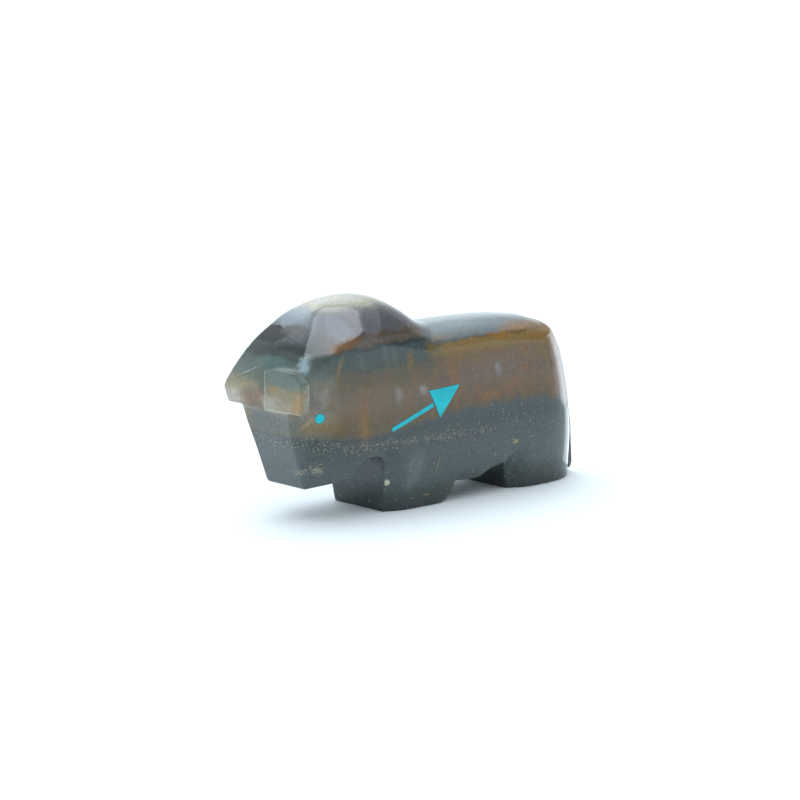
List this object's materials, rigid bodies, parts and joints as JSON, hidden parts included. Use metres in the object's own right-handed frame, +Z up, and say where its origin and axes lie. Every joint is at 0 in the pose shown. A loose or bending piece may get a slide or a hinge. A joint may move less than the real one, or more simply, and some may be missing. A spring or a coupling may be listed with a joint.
{
  "type": "stone horse carving",
  "caption": "Small compact horse carved from banded stone, with an arched mane, stub legs, and turquoise inlay for the eyes and an arrow on one flank.",
  "frame": {"origin": "centre of the footprint on the surface that the horse stands on, within 0.3 mm of the bounding box's bottom centre", "axes": "+X from head to tail, so the head points to -X; +Y from the flank with the arrow to the plain flank; +Z up"},
  "size_m": [0.0522, 0.0155, 0.028],
  "materials": {
    "banded_stone": "polished layered stone: blue-grey below, brown with rust streaks and an ochre band in the middle, lavender grey above",
    "turquoise": "ground flush with the stone and polished, bright blue-green"
  },
  "bodies": {
    "root": {"stone_body": "banded_stone", "eye_inlay_left": "turquoise", "eye_inlay_right": "turquoise", "arrow_shaft_inlay": "turquoise", "arrowhead_inlay": "turquoise"}
  },
  "joints": []
}
